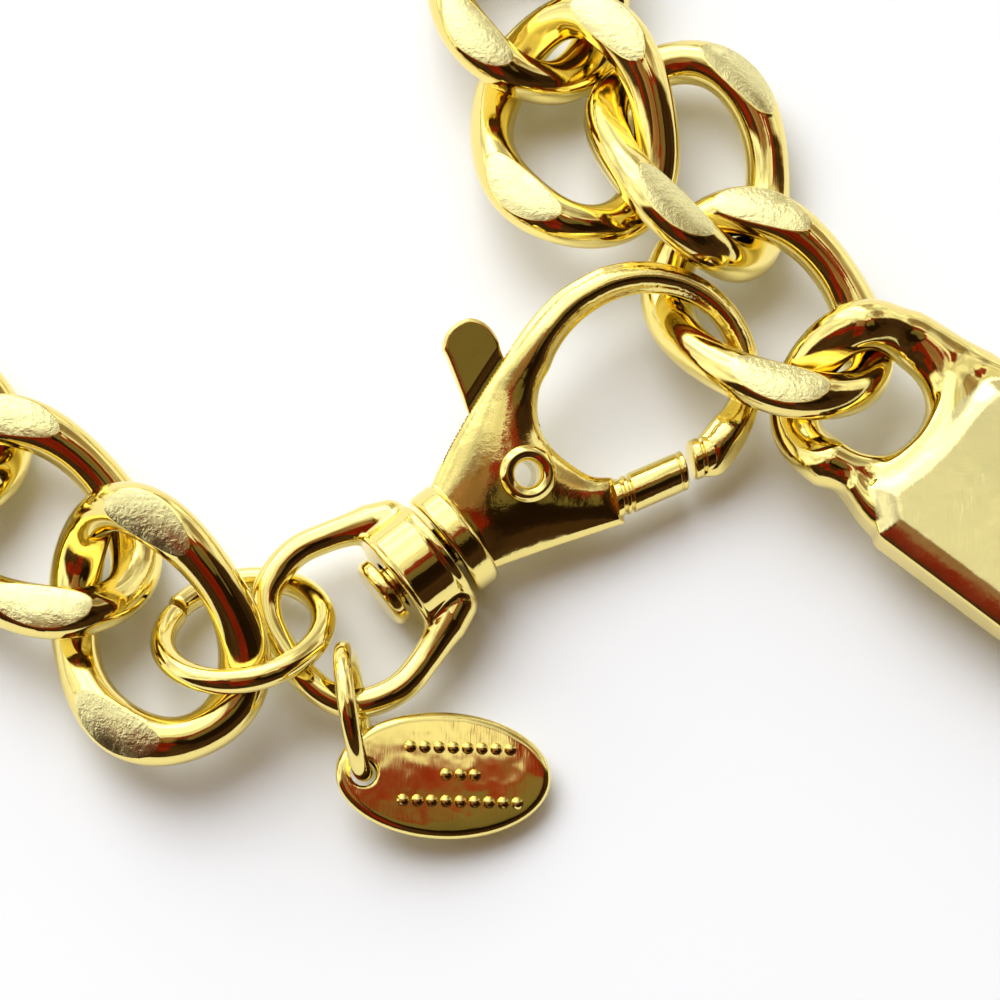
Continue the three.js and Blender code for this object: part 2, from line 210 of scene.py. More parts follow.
# ---- surfaces, in millimetres
@dataclass
class Surface:
    """A closed surface: points in millimetres, faces, and which finish each face takes."""

    points: Array
    faces: list[tuple[int, ...]]
    finish_of_face: Optional[list[int]] = None

    def joined(self, other: "Surface") -> "Surface":
        """Joins this surface and another.

        Args:
            other: the other surface.

        Returns:
            Both as one surface.
        """
        shift = len(self.points)
        faces = self.faces + [tuple(i + shift for i in face) for face in other.faces]
        mine = self.finish_of_face or [0] * len(self.faces)
        theirs = other.finish_of_face or [0] * len(other.faces)
        return Surface(np.vstack([self.points, other.points]), faces, mine + theirs)

    def placed(self, pose: Matrix) -> "Surface":
        """Moves the surface.

        Args:
            pose: the pose, whose shift is in millimetres.

        Returns:
            The moved surface.
        """
        turn = np.array(pose.to_3x3())
        moved = self.points @ turn.T + np.array(pose.translation)
        return Surface(moved, self.faces, self.finish_of_face)


def show(name: str, surface: Surface, finishes: Sequence[Finish], body: str, nodes: Sequence[str],
         sharp_deg: float = 35.0) -> bpy.types.Object:
    """Makes a surface a piece of the necklace.

    Args:
        name: the piece's name.
        surface: its surface, in the row frame, in millimetres.
        finishes: the finishes, in the order that the surface's faces number them.
        body: the body that it rides on.
        nodes: the CAD nodes that it stands for, which are hidden.
        sharp_deg: edges that bend more than this stay crisp.

    Returns:
        The new object.
    """
    mesh = bpy.data.meshes.new(name)
    mesh.from_pydata((surface.points * MM).tolist(), [], surface.faces)
    for finish in finishes:
        mesh.materials.append(finish.made())
    if surface.finish_of_face:
        mesh.polygons.foreach_set("material_index", surface.finish_of_face)
    work = bmesh.new()
    work.from_mesh(mesh)
    bmesh.ops.recalc_face_normals(work, faces=work.faces)
    limit = math.radians(sharp_deg)
    for face in work.faces:
        face.smooth = True
    for edge in work.edges:
        edge.smooth = not (len(edge.link_faces) == 2 and edge.calc_face_angle(0) > limit)
    work.to_mesh(mesh)
    work.free()
    piece = bpy.data.objects.new(name, mesh)
    bpy.context.scene.collection.objects.link(piece)
    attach(piece, body)
    if nodes:
        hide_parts(*nodes)
    LOG.info("%s: %d points on body %s", name, len(surface.points), body)
    return piece


def sweep(path: Array, across: Array, upward: Array, sides: int, closed: bool = True,
          up: Sequence[float] = (0.0, 0.0, 1.0)) -> Surface:
    """Sweeps an oval section along a path.

    Args:
        path: the centre line, one point a row.
        across: half of the section's width at each point.
        upward: half of its height at each point.
        sides: points round the section.
        closed: whether the path closes on itself; if not, its ends are capped.
        up: the direction that the section's height leans to.

    Returns:
        The swept surface.
    """
    if closed:
        along = np.roll(path, -1, 0) - np.roll(path, 1, 0)
    else:
        along = np.gradient(path, axis=0)
    along /= np.linalg.norm(along, axis=1, keepdims=True)
    out = np.cross(along, np.asarray(up, float))
    out /= np.linalg.norm(out, axis=1, keepdims=True)
    rise = np.cross(out, along)
    phase = np.linspace(0, TURN, sides, endpoint=False)
    ring = (path[:, None] + (across[:, None] * np.cos(phase))[..., None] * out[:, None]
            + (upward[:, None] * np.sin(phase))[..., None] * rise[:, None])
    count = len(path)
    faces = []
    for i in range(count if closed else count - 1):
        j = (i + 1) % count
        for k in range(sides):
            m = (k + 1) % sides
            faces.append((i * sides + k, i * sides + m, j * sides + m, j * sides + k))
    if not closed:
        faces.append(tuple(range(sides)))
        faces.append(tuple((count - 1) * sides + k for k in reversed(range(sides))))
    return Surface(ring.reshape(-1, 3), faces)


def turned(profile: Corners, sides: int = 64, shift: float = 0.0) -> Surface:
    """Turns a closed profile round the X axis, as on a lathe.

    Args:
        profile: points (place along X, radius), in order round the section.
        sides: points round the axis.
        shift: how far the axis stands off along Y.

    Returns:
        The turned surface; a profile that starts and ends on the axis is closed there.
    """
    points, faces = [], []
    rows = []
    for x, radius in profile:
        if radius < ON_AXIS:
            rows.append([len(points)] * sides)
            points.append((x, shift, 0.0))
        else:
            rows.append(list(range(len(points), len(points) + sides)))
            for k in range(sides):
                angle = TURN * k / sides
                points.append((x, shift + radius * math.cos(angle), radius * math.sin(angle)))
    loop = rows if profile[0][1] < ON_AXIS else rows + [rows[0]]
    for first, second in zip(loop, loop[1:]):
        for k in range(sides):
            m = (k + 1) % sides
            face = (first[k], first[m], second[m], second[k])
            faces.append(tuple(dict.fromkeys(face)))
    return Surface(np.array(points), [face for face in faces if len(face) > 2])


def rounded(corners: Corners, radius: float, steps: int = 4) -> list[tuple[float, float]]:
    """Rounds the inner corners of an open profile with small arcs.

    Args:
        corners: the profile's corners; the first and last stay.
        radius: how far from each corner the rounding starts.
        steps: points in each rounding.

    Returns:
        The rounded profile.
    """
    done = [corners[0]]
    for before, corner, after in zip(corners, corners[1:], corners[2:]):
        c = np.array(corner)
        to_before, to_after = np.array(before) - c, np.array(after) - c
        reach_in = min(radius, np.linalg.norm(to_before) * UNDER_HALF)
        reach_out = min(radius, np.linalg.norm(to_after) * UNDER_HALF)
        start = c + to_before / np.linalg.norm(to_before) * reach_in
        end = c + to_after / np.linalg.norm(to_after) * reach_out
        for i in range(steps + 1):
            t = i / steps
            done.append(tuple((1 - t) ** 2 * start + 2 * t * (1 - t) * c + t * t * end))
    done.append(corners[-1])
    return done


def smooth_line(points: Sequence[Sequence[float]], count: int, closed: bool = False) -> Array:
    """Runs a smooth curve through points.

    Args:
        points: the points, two or three numbers each.
        count: how many points the curve gets, evenly spaced.
        closed: whether it closes on itself.

    Returns:
        The curve's points.
    """
    p = np.asarray(points, float)
    if closed:
        p = np.vstack([p[-1], p, p[0], p[1]])
    else:
        p = np.vstack([2 * p[0] - p[1], p, 2 * p[-1] - p[-2]])
    fine = []
    for a, b, c, d in zip(p, p[1:], p[2:], p[3:]):
        for t in np.linspace(0, 1, CURVE_STEPS, endpoint=False):
            fine.append(0.5 * (2 * b + (c - a) * t + (2 * a - 5 * b + 4 * c - d) * t ** 2
                               + (3 * b - a - 3 * c + d) * t ** 3))
    fine = np.array(fine + [p[-2]])
    length = np.concatenate([[0], np.cumsum(np.linalg.norm(np.diff(fine, axis=0), axis=1))])
    spots = np.linspace(0, length[-1], count, endpoint=not closed)
    return np.stack([np.interp(spots, length, fine[:, k]) for k in range(p.shape[1])], 1)


# ---- solids by signed distance, in millimetres
class FlatShape:
    """A flat outline whose signed distance is kept in a table, for solids that are built on it."""

    def __init__(self, outline: Array, pitch: float = 0.06, margin: float = 1.2,
                 closed: bool = True) -> None:
        """Works the table out.

        Args:
            outline: the outline's points in order.
            pitch: the table's spacing.
            margin: how far the table reaches past the outline.
            closed: whether the outline encloses an area, which then has negative distances.
        """
        outline = np.asarray(outline, float)
        self.pitch = pitch
        self.low = outline.min(0) - margin
        self.count = np.ceil((outline.max(0) + margin - self.low) / pitch).astype(int) + 1
        grid = np.meshgrid(*(np.arange(n) for n in self.count), indexing="ij")
        spots = np.stack([g.ravel() for g in grid], 1) * pitch + self.low
        a = outline if closed else outline[:-1]
        b = np.roll(outline, -1, 0) if closed else outline[1:]
        nearest = np.full(len(spots), np.inf)
        for start, end in zip(a, b):
            along = end - start
            share = np.clip((spots - start) @ along / max(along @ along, 1e-12), 0, 1)
            gap = ((spots - start - share[:, None] * along) ** 2).sum(1)
            np.minimum(nearest, gap, out=nearest)
        distance = np.sqrt(nearest)
        if closed:
            distance[inside(spots, outline)] *= -1
        self.table = distance.reshape(self.count)

    def like(self, table: Array) -> "FlatShape":
        """Makes a table of other values over the same area.

        Args:
            table: the values.

        Returns:
            The new table.
        """
        other = object.__new__(FlatShape)
        other.pitch, other.low, other.count, other.table = self.pitch, self.low, self.count, table
        return other

    def __call__(self, x: Array, y: Array) -> Array:
        """Looks values up between the table's points.

        Args:
            x: the places along X.
            y: the places along Y.

        Returns:
            The value at each place.
        """
        u = np.clip((x - self.low[0]) / self.pitch, 0, self.count[0] - LAST_CELL)
        v = np.clip((y - self.low[1]) / self.pitch, 0, self.count[1] - LAST_CELL)
        i, j = u.astype(int), v.astype(int)
        f, g = u - i, v - j
        t = self.table
        return (t[i, j] * (1 - f) * (1 - g) + t[i + 1, j] * f * (1 - g)
                + t[i, j + 1] * (1 - f) * g + t[i + 1, j + 1] * f * g)

    def swelling(self, edge: float, reach: float, rounds: int = 260) -> "FlatShape":
        """Stretches a film over the area that lies further in than an edge strip.

        Args:
            edge: the strip's width.
            reach: how far from the strip the film has risen to about two thirds.
            rounds: how long the film relaxes.

        Returns:
            The film's height: 0 in the strip and outside, towards 1 in the middle of a wide area.
        """
        free = self.table < -edge
        film = np.zeros_like(self.table)
        weight = (self.pitch / reach) ** 2
        parity = np.add.outer(np.arange(self.count[0]), np.arange(self.count[1])) % 2
        for _ in range(rounds):
            for colour in (0, 1):
                around = (np.roll(film, 1, 0) + np.roll(film, -1, 0) + np.roll(film, 1, 1)
                          + np.roll(film, -1, 1) + weight) / (4 + weight)
                chosen = free & (parity == colour)
                film[chosen] += OVERSHOOT * (around[chosen] - film[chosen])
        return self.like(film)


def melt(a: Array, b: Array, fillet: float) -> Array:
    """Joins two solids' distances, with a fillet between them."""
    share = np.clip(0.5 + 0.5 * (b - a) / fillet, 0, 1)
    return b + (a - b) * share - fillet * share * (1 - share)


def trim(a: Array, b: Array, fillet: float) -> Array:
    """Keeps what two solids share, with the edge between them rounded."""
    return -melt(-a, -b, fillet)


def skin(solid: Solid, low: Sequence[float], high: Sequence[float], pitch: float) -> Surface:
    """Finds the surface of a solid that is given by its signed distance.

    Args:
        solid: the distance as a function of x, y and z, negative inside.
        low: the lowest corner of the block that holds it.
        high: the highest corner.
        pitch: the size of the surface's faces.

    Returns:
        The surface, in quads.
    """
    axes = [np.arange(a, b + pitch, pitch) for a, b in zip(low, high)]
    x, y, z = np.meshgrid(*axes, indexing="ij")
    value = solid(x.ravel(), y.ravel(), z.ravel()).reshape(x.shape)
    a, b, c = (n - 1 for n in value.shape)
    corner = [value[i:a + i, j:b + j, k:c + k] for i in (0, 1) for j in (0, 1) for k in (0, 1)]
    full = sum((c < 0).astype(np.int8) for c in corner)
    cells = np.argwhere((full > 0) & (full < 8))
    number = np.full(full.shape, -1)
    number[tuple(cells.T)] = np.arange(len(cells))
    at = np.stack([c[tuple(cells.T)] for c in corner], 1)
    spot = np.array([(i, j, k) for i in (0, 1) for j in (0, 1) for k in (0, 1)], float)
    total, hits = np.zeros((len(cells), 3)), np.zeros(len(cells))
    edges = [(a, b) for a in range(8) for b in range(a + 1, 8)
             if np.abs(spot[a] - spot[b]).sum() == 1]
    for a, b in edges:
        cut = (at[:, a] < 0) != (at[:, b] < 0)
        share = np.where(cut, at[:, a] / np.where(cut, at[:, a] - at[:, b], 1), 0)
        total += np.where(cut[:, None], spot[a] + share[:, None] * (spot[b] - spot[a]), 0)
        hits += cut
    points = (cells + total / hits[:, None]) * pitch + np.asarray(low)
    faces = []
    for axis in range(3):
        lead = [slice(1, -1)] * 3
        ahead = [slice(1, -1)] * 3
        lead[axis], ahead[axis] = slice(0, -1), slice(1, None)
        first, second = value[tuple(lead)] < 0, value[tuple(ahead)] < 0
        edges = np.argwhere(first != second)
        outward = first[tuple(edges.T)]
        base = edges + 1
        base[:, axis] -= 1
        side = [k for k in range(3) if k != axis]
        ring = []
        for back_a, back_b in ((1, 1), (0, 1), (0, 0), (1, 0)):
            cell = base.copy()
            cell[:, side[0]] -= back_a
            cell[:, side[1]] -= back_b
            ring.append(number[tuple(cell.T)])
        quads = np.stack(ring, 1)
        flip = outward if axis != 1 else ~outward
        quads[~flip] = quads[~flip][:, ::-1]
        faces.append(quads)
    nudge, most = pitch * SKIN_NUDGE, pitch * SKIN_MOVE
    for _ in range(SKIN_ROUNDS):
        here = solid(*points.T)
        slope = np.stack([solid(*(points + step).T) - here for step in np.eye(3) * nudge], 1)
        slope /= nudge
        steep = np.maximum((slope ** 2).sum(1), SKIN_LEAST_SLOPE)
        points = points + np.clip(-here[:, None] * slope / steep[:, None], -most, most)
    return Surface(points, [tuple(q) for q in np.vstack(faces).tolist()])


# ---- poses
def principal_pose(node: str, forward: Optional[Vector] = None) -> Matrix:
    """Finds a CAD node's pose from its own shape.

    Args:
        node: the node; its longest, middle and shortest directions become X, Y and Z.
        forward: a point in millimetres that X should lean to.

    Returns:
        The pose, in millimetres, with Z upward.
    """
    mesh = frame["nodes"][node].data
    mesh.calc_loop_triangles()
    points = np.array([v.co[:] for v in mesh.vertices]) / MM
    triangles = points[[t.vertices[:] for t in mesh.loop_triangles]]
    first, second, third = (triangles[:, i] for i in range(3))
    area = np.linalg.norm(np.cross(second - first, third - first), axis=1)
    middle = triangles.mean(1)
    centre = (middle * area[:, None]).sum(0) / area.sum()
    spread = ((middle - centre) * area[:, None]).T @ (middle - centre)
    directions = np.linalg.eigh(spread)[1]
    x, z = directions[:, 2], directions[:, 0]
    z = z if z[2] > 0 else -z
    if forward is not None and np.dot(np.array(forward) - centre, x) < 0:
        x = -x
    y = np.cross(z, x)
    return Matrix(np.vstack([np.column_stack([x, y, z, centre]), [0, 0, 0, 1]]).tolist())


# ---- chain
@dataclass
class CurbChain:
    """Curb links of round wire, twisted and then ground flat on both sides."""

    wire: float = 2.24
    half_length: float = 5.95
    half_width: float = 4.2
    twist: float = 1.18
    spread: float = 0.2
    half_thickness: float = 1.85
    burr: float = 0.05  # the soft edge that tumbling leaves round each ground flat
    burr_width: float = 1.6  # its width for its height
    shortest_edge: float = 0.01
    steps: int = 120
    sides: int = 32

    def link(self) -> Surface:
        """Builds one link, ground flat above and below.

        Returns:
            The link, whose flats take the second finish.
        """
        t = np.linspace(0, TURN, self.steps, endpoint=False)
        path = np.stack([self.half_length * np.cos(t), self.half_width * np.sin(t),
                         -self.twist * np.sin(2 * t)], 1)
        across = self.wire / 2 * (1 + self.spread * np.sin(2 * t) ** 2)
        upward = np.full(self.steps, self.wire / 2)
        return self.ground(sweep(path, across, upward, self.sides))

    def ground(self, wire: Surface) -> Surface:
        """Grinds the wire flat at the chain's two faces.

        Args:
            wire: the round wire link.

        Returns:
            The link, whose ground faces take the second finish.
        """
        work = bmesh.new()
        corners = [work.verts.new(p) for p in wire.points]
        for face in wire.faces:
            work.faces.new([corners[i] for i in face])
        level = self.half_thickness - self.burr
        flats = []
        for side in (1, -1):
            everything = work.verts[:] + work.edges[:] + work.faces[:]
            cut = bmesh.ops.bisect_plane(work, geom=everything, plane_co=(0, 0, side * level),
                                         plane_no=(0, 0, side), clear_outer=True)
            rim = [e for e in cut["geom_cut"] if isinstance(e, bmesh.types.BMEdge)]
            bmesh.ops.dissolve_degenerate(work, dist=self.shortest_edge, edges=rim)
            rim = [e for e in work.edges if e.is_boundary]
            flats += bmesh.ops.holes_fill(work, edges=rim, sides=0)["faces"]
        bmesh.ops.recalc_face_normals(work, faces=work.faces)
        bmesh.ops.inset_region(work, faces=flats, thickness=self.burr * self.burr_width,
                               depth=self.burr, use_even_offset=True)
        for face in flats:
            face.material_index = 1
        bmesh.ops.triangulate(work, faces=flats)
        work.verts.index_update()
        points = np.array([v.co[:] for v in work.verts])
        faces = [tuple(v.index for v in f.verts) for f in work.faces]
        kinds = [f.material_index for f in work.faces]
        work.free()
        return Surface(points, faces, kinds)

    def build(self) -> None:
        """Puts a fine link in the place of each CAD link."""
        link = self.link()
        for node in sorted(frame["nodes"]):
            if node.startswith("link_"):
                show("curb_" + node, link.placed(principal_pose(node)),
                     (Finish.POLISHED, Finish.GROUND), "necklace", [node])


# ---- clasp
@dataclass
class LobsterClasp:
    """A swivel lobster clasp: casting, sprung gate, rolled rivet, barrel and wire eye.

    Its X axis is the swivel's, with the rivet at the origin and the hook at the positive end.
    """

    heading: float = 38.0
    rise: float = 3.0
    roll: float = 19.3
    eye_roll: float = 3.8
    swivel_shift: float = -0.45
    pitch: float = 0.075  # size of the casting's faces
    flank: float = 0.3  # width of the sloping flank round the casting
    body_wall: float = 0.3  # half height of the upright wall below it, on the body
    hook_wall: float = 0.36  # and on the hook
    hook_crown: float = 0.8
    narrow_crown: float = 0.1  # how much of the narrow crown the body has
    body_crown: float = 1.65
    crown_fade: float = 0.6  # share of the broad crown that is lost towards the hook
    crown_reach: tuple = (2.2, 0.5)  # of the broad and the narrow crown
    hook_from: float = 1.5  # the body turns into the hook from here
    hook_over: float = 4.0  # over this length
    wall_slope: float = 0.8  # evens the distance out where the crown is steep
    rim_edge: float = 0.08
    slot_edge: float = 0.03
    collar_fillet: float = 0.12
    hole_edge: float = 0.05
    casting_block: tuple = ((-9.6, -6.3, -3.1), (13.9, 6.5, 3.1))
    outline_steps: int = 300
    # the casting's outline: lower side, mouth, nose and spine, with arcs for the hook
    lower_side: tuple = ((-5.2, 1.9), (-5.2, -2.6), (-4.1, -2.75), (-1.5, -3.55), (1.0, -4.4),
                         (2.62, -4.95), (3.1, -3.75), (3.5, -2.74))
    mouth: tuple = ((2.72, -2.08), (2.3, -1.2), (2.0, -0.1), (1.98, 0.9), (2.35, 1.95), (3.2, 2.9))
    nose: tuple = ((10.9, -3.0), (10.2, -3.38), (9.4, -3.5), (8.5, -3.72), (7.95, -3.85),
                   (7.55, -4.7), (7.2, -5.5), (8.0, -5.92))
    spine: tuple = ((7.0, 6.17), (5.1, 5.93), (3.05, 5.32), (0.5, 4.42), (-2.1, 3.33),
                    (-4.1, 2.25))
    crisp: tuple = ((-5.2, 1.9), (-5.2, -2.6), (2.62, -4.95), (3.5, -2.74), (7.95, -3.85),
                    (7.2, -5.5))
    hook_outer: tuple = (7.2, 0.1, 6.4, 6.08)  # middle x, middle y, radius x, radius y
    hook_outer_arc: tuple = (-72, 74, 26)  # from, to, points
    hook_inner: tuple = (7.35, 0.2, 4.95, 4.15)
    hook_inner_arc: tuple = (130, -30, 22)
    slot_half: float = 0.34
    slot: tuple = ((-2.3, -2.3), (2.6, -3.95), (5.0, -4.75), (5.0, 0.5), (2.05, 1.0), (2.05, 1.6),
                   (3.4, 5.6), (3.9, 7.5), (-3.0, 7.5), (-2.9, 2.0))
    collar: tuple = (-5.32, -3.95, 2.85)  # from, to, radius
    barrel: tuple = (-8.4, -5.6, 2.85)
    pin_head: tuple = (-9.4, -8.7, 1.8)
    pin_radius: float = 1.0
    bevel: float = 0.2  # the swivel's outer edges
    small_bevel: float = 0.12  # and its edges where collar and barrel meet
    swivel_rounding: float = 0.14
    front_rim: tuple = (0.1, 0.24, 0.34)  # the barrel's rim, from its end: bevel, flat, foot
    back_rim: tuple = (0.1, 0.4, 0.55)
    barrel_rounding: float = 0.07
    bore: float = 1.3
    bore_past_barrel: float = 1.2  # the bore reaches this far into the eye
    eye_wire: float = 1.5
    eye_swell: tuple = (0.28, -9.6, 2.4)  # the wire thickens by, from, over this length
    eye_fillet: float = 0.3
    eye_half: tuple = ((-6.6, 2.7), (-8.0, 3.32), (-9.5, 3.9), (-11.0, 4.24), (-12.4, 4.05),
                       (-13.6, 3.42), (-14.3, 2.3), (-14.6, 0.78))
    eye_steps: int = 160
    eye_block: tuple = ((-15.9, -5.9, -3.1), (-5.2, 5.1, 3.1))
    gate_root: tuple = (2.9, -3.72)
    gate_tip: tuple = (6.68, -4.66)
    gate_slant: float = 0.2  # the turned rings of the gate stand askew by this slope
    # the arm's turned grooves: how far from its root or back from its tip, and the radius there
    gate_from_root: tuple = ((0, 0.95), (0.34, 0.95), (0.38, 0.77), (0.5, 0.77), (0.54, 0.95),
                             (0.72, 0.95), (0.76, 0.79), (0.88, 0.79), (0.92, 0.97))
    gate_from_tip: tuple = ((0.42, 0.97), (0.38, 0.9), (0.33, 0.9), (0.29, 0.97), (0.08, 0.97),
                            (0, 0.83))
    gate_rounding: float = 0.04
    gate_sides: int = 64
    nose_tip: tuple = (7.18, -4.5)
    nose_root: tuple = (8.3, -4.8)
    nose_from_root: tuple = ((0, 1.02), (0.5, 1.02), (0.56, 0.86), (0.66, 0.86), (0.7, 1.0))
    nose_from_tip: tuple = ((0.1, 0.98), (0, 0.86))
    nose_rounding: float = 0.05
    nose_sides: int = 48
    lever_half: float = 0.5
    lever_web: float = 0.29  # half thickness of its plate between the cheeks
    lever_clear: tuple = (0.15, 0.4)  # it thickens this far outside, over this length
    lever_from: float = 2.0  # only above this height
    lever_edge: float = 0.22
    lever_outline: tuple = (
        (-1.4, -1.5), (1.2, -2.5), (2.9, -3.2), (3.7, -4.1), (4.6, -3.9), (3.9, -3.2), (2.9, -2.4),
        (1.9, -1.2), (1.6, 0.8), (2.2, 3.2), (2.75, 5.4), (3.0, 6.3), (2.9, 7.2), (2.3, 7.85),
        (1.3, 7.9), (0.55, 7.4), (0.35, 6.6), (-0.6, 3.4), (-1.6, 1.4), (-1.8, -0.2))
    lever_steps: int = 150
    lever_block: tuple = ((-2.3, -4.8, -0.7), (5.2, 8.4, 0.7))
    rivet_bore: float = 1.2
    # half of the rivet's section, from its waist over the rolled rim into its hole
    rivet_end: tuple = ((1.2, 0.93), (1.25, 1.37), (1.53, 1.42), (1.73, 1.22), (1.81, 1.085),
                        (1.69, 0.77), (1.4, 0.65))
    rivet_rounding: float = 0.08

    def pose(self, roll: float) -> Matrix:
        """Returns the clasp's pose about its rivet, rolled about the swivel's axis."""
        rivet = Vector(frame["joints"][0]["pos_m"]) / MM
        return (Matrix.Translation(rivet) @ Matrix.Rotation(math.radians(self.heading), 4, "Z")
                @ Matrix.Rotation(math.radians(-self.rise), 4, "Y")
                @ Matrix.Rotation(math.radians(roll), 4, "X"))

    def arc(self, oval: tuple, start: float, end: float, count: int) -> list[tuple[float, float]]:
        """Draws points along an oval.

        Args:
            oval: its middle's x and y, and its radii along X and Y.
            start: the first angle, in degrees.
            end: the last angle.
            count: how many points.

        Returns:
            The points.
        """
        x, y, rx, ry = oval
        angles = np.radians(np.linspace(start, end, count))
        return [(x + rx * math.cos(a), y + ry * math.sin(a)) for a in angles]

    def casting_outline(self) -> Array:
        """Draws the outline of body, hook and nose as one closed line.

        Returns:
            The outline's points.
        """
        inner = self.arc(self.hook_inner, *self.hook_inner_arc)
        outer = self.arc(self.hook_outer, *self.hook_outer_arc)
        corners = [*self.lower_side, *self.mouth, *inner, *self.nose, *outer, *self.spine]
        return smooth_outline(corners, self.outline_steps, self.crisp)

    def swivel_profile(self) -> Array:
        """Draws the section of collar, pin and pin head, from one side of the axis to the other.

        Returns:
            The section's points (place along the axis, radius).
        """
        start, end, radius = self.collar
        head_from, head_to, head = self.pin_head
        bevel, small = self.bevel, self.small_bevel
        half = rounded([(head_from, 0), (head_from, head - bevel), (head_from + bevel, head),
                        (head_to, head), (head_to, self.pin_radius), (start, self.pin_radius),
                        (start, radius - small), (start + small, radius), (end - bevel, radius),
                        (end, radius - bevel), (end + bevel, 0)], self.swivel_rounding)
        return np.array(half + [(x, -r) for x, r in reversed(half[1:-1])])

    def casting(self) -> Surface:
        """Builds the crowned casting with its gate slot, rivet hole, collar and swivel pin.

        Returns:
            The casting.
        """
        plan = FlatShape(self.casting_outline())
        broad, narrow = (plan.swelling(self.flank, reach) for reach in self.crown_reach)
        slot = FlatShape(np.array(self.slot))
        turned_part = FlatShape(self.swivel_profile())

        def solid(x: Array, y: Array, z: Array) -> Array:
            """Joins the crowned plan and the swivel, and cuts slot and hole.

            Args:
                x: the places along X.
                y: the places along Y.
                z: their heights.

            Returns:
                The casting's signed distance.
            """
            along = np.clip((x - self.hook_from) / self.hook_over, 0, 1)
            to_hook = along ** 2 * (3 - 2 * along)
            wall = self.body_wall + (self.hook_wall - self.body_wall) * to_hook
            narrow_share = self.narrow_crown + (self.hook_crown - self.narrow_crown) * to_hook
            crown = (narrow(x, y) * narrow_share
                     + broad(x, y) * self.body_crown * (1 - self.crown_fade * to_hook))
            rim = plan(x, y)
            top = wall + np.clip(-rim, 0, self.flank) + crown
            body = trim(rim, (np.abs(z) - top) * self.wall_slope, self.rim_edge)
            gap = np.maximum(slot(x, y), np.abs(z) - self.slot_half)
            body = trim(body, -gap, self.slot_edge)
            swivel = turned_part(x, np.hypot(y - self.swivel_shift, z))
            body = melt(body, swivel, self.collar_fillet)
            return trim(body, self.pin_radius - np.hypot(x, y), self.hole_edge)

        return skin(solid, *self.casting_block, self.pitch).joined(self.nose_ring())

    def nose_ring(self) -> Surface:
        """Builds the grooved ring at the end of the nose, which the gate closes on.

        Returns:
            The ring.
        """
        return self.rod(self.nose_root, self.nose_tip, self.nose_from_root, self.nose_from_tip,
                        self.nose_rounding, self.nose_sides)

    def rod(self, root: tuple, tip: tuple, from_root: Corners, from_tip: Corners,
            rounding: float, sides: int) -> Surface:
        """Turns a grooved rod and lays it from root to tip, with its rings askew.

        Args:
            root: where it starts.
            tip: where it ends.
            from_root: its profile near the root (how far from there, radius).
            from_tip: its profile near the tip (how far back from there, radius).
            rounding: how far from each corner of the profile the rounding starts.
            sides: points round it.

        Returns:
            The rod.
        """
        start, end = Vector((*root, 0)), Vector((*tip, 0))
        length = (end - start).length
        profile = [(0, 0), *from_root, *((length - x, r) for x, r in from_tip), (length, 0)]
        rings = turned(rounded(profile, rounding), sides)
        return slanted(rings, self.gate_slant).placed(stand_along(start, end))

    def gate(self) -> Surface:
        """Builds the gate: its round arm with turned grooves, and the thumb lever.

        Returns:
            The gate.
        """
        arm = self.rod(self.gate_root, self.gate_tip, self.gate_from_root, self.gate_from_tip,
                       self.gate_rounding, self.gate_sides)
        plan = FlatShape(smooth_line(self.lever_outline, self.lever_steps, closed=True))
        casting = FlatShape(self.casting_outline())
        past, over = self.lever_clear

        def lever(x: Array, y: Array, z: Array) -> Array:
            """Shapes the lever, which is thicker outside the casting.

            Args:
                x: the places along X.
                y: the places along Y.
                z: their heights.

            Returns:
                The lever's signed distance.
            """
            clear = np.clip((casting(x, y) - past) / over, 0, 1) * (y > self.lever_from)
            half = self.lever_web + (self.lever_half - self.lever_web) * clear
            plate = trim(plan(x, y), np.abs(z) - half, self.lever_edge)
            return np.maximum(plate, self.rivet_bore - np.hypot(x, y))

        return skin(lever, *self.lever_block, self.pitch).joined(arm)

    def rivet(self) -> Surface:
        """Builds the hollow rivet with both ends rolled over.

        Returns:
            The rivet.
        """
        profile = [(-x, r) for x, r in reversed(self.rivet_end)] + list(self.rivet_end)
        loop = rounded(profile + [profile[0]], self.rivet_rounding)[:-1]
        return turned(loop).placed(Matrix.Rotation(-math.pi / 2, 4, "Y"))

    def eye(self) -> Surface:
        """Builds the swivel's barrel, whose ends are rimmed, and the wire eye cast onto it.

        Returns:
            Barrel and eye as one surface.
        """
        start, end, radius = self.barrel
        below = radius - self.small_bevel
        bevel, flat, foot = self.front_rim
        back_bevel, back_flat, back_foot = self.back_rim
        half = rounded([(start, self.bore), (start, below), (start + bevel, radius),
                        (start + flat, radius), (start + foot, below), (end - back_foot, below),
                        (end - back_flat, radius), (end - back_bevel, radius), (end, below),
                        (end, self.bore)], self.barrel_rounding)
        barrel = FlatShape(np.array(half), margin=1.6)
        route = list(self.eye_half) + [(x, -y) for x, y in reversed(self.eye_half)]
        line = FlatShape(smooth_line(route, self.eye_steps), closed=False, margin=2.2)
        more, swell_from, over = self.eye_swell

        def solid(x: Array, y: Array, z: Array) -> Array:
            """Joins the wire and the barrel, and keeps the bore free.

            Args:
                x: the places along X.
                y: the places along Y.
                z: their heights.

            Returns:
                The eye's signed distance.
            """
            thick = self.eye_wire / 2 + more * np.clip((x - swell_from) / over, 0, 1) ** 2
            arm = np.hypot(line(x, y), z) - thick
            from_axis = np.hypot(y, z)
            bore_end = x - start + self.bore_past_barrel
            arm = np.maximum(arm, np.minimum(self.bore - from_axis, bore_end))
            return melt(arm, barrel(x, from_axis), self.eye_fillet)

        return skin(solid, *self.eye_block, self.pitch)

